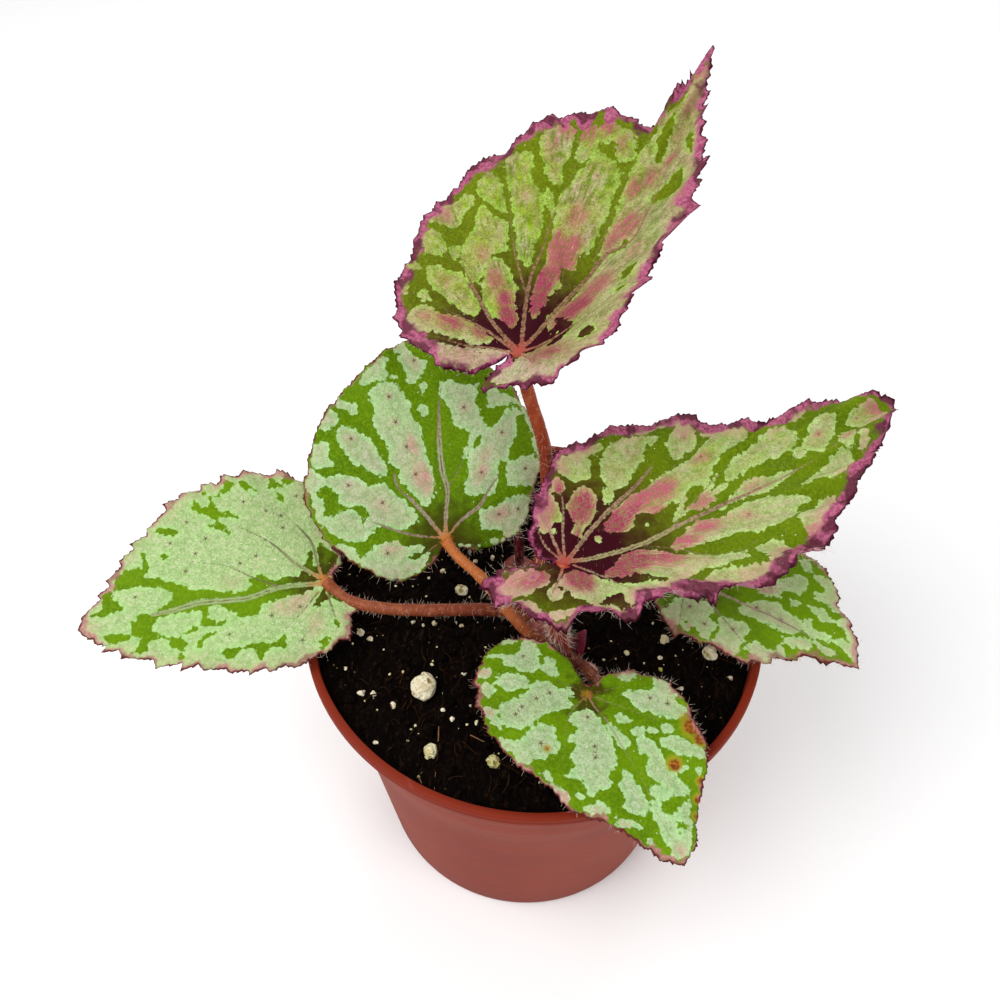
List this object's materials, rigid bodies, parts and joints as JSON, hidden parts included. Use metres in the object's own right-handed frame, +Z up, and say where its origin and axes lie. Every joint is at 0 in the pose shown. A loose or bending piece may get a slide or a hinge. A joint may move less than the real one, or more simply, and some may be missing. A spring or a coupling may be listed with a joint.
{
  "type": "potted rex begonia",
  "caption": "Young rex begonia with silver-patched, toothed leaves on hairy stalks, growing in soil in a thin round tapered nursery pot with a collar and drain holes.",
  "frame": {"origin": "centre of the pot's flat underside", "axes": "+Z up along the pot's axis, -Y towards the side from which the front leaf hangs over the rim, +X to the right of it"},
  "size_m": [0.1727, 0.1374, 0.1734],
  "materials": {
    "pot_plastic": "satin, thin moulded terracotta-coloured plastic",
    "soil": "rough, moist peat",
    "crown": "rough, scarred stem",
    "young_growth": "satin, folded young leaf",
    "perlite": "rough, porous grains",
    "leaf_blushed": "satin leaf with silver-green patches, pink blush, dark centre and purple margin",
    "leaf_silver": "satin leaf with silver patches on green and a thin red-brown margin",
    "stalk": "satin, hairy red-brown stalk"
  },
  "bodies": {
    "root": {"pot": "pot_plastic", "soil": "soil", "crown": "crown", "young_leaf": "young_growth", "perlite_lump": "perlite", "perlite_grain_1": "perlite", "perlite_grain_2": "perlite", "perlite_grain_3": "perlite", "perlite_grain_4": "perlite", "blade_top": "leaf_blushed", "blade_right": "leaf_blushed", "blade_round": "leaf_silver", "blade_left": "leaf_silver", "blade_front": "leaf_silver", "blade_back": "leaf_silver", "stalk_top": "stalk", "stalk_right": "stalk", "stalk_round": "stalk", "stalk_left": "stalk", "stalk_front": "stalk", "stalk_back": "stalk"}
  },
  "joints": []
}
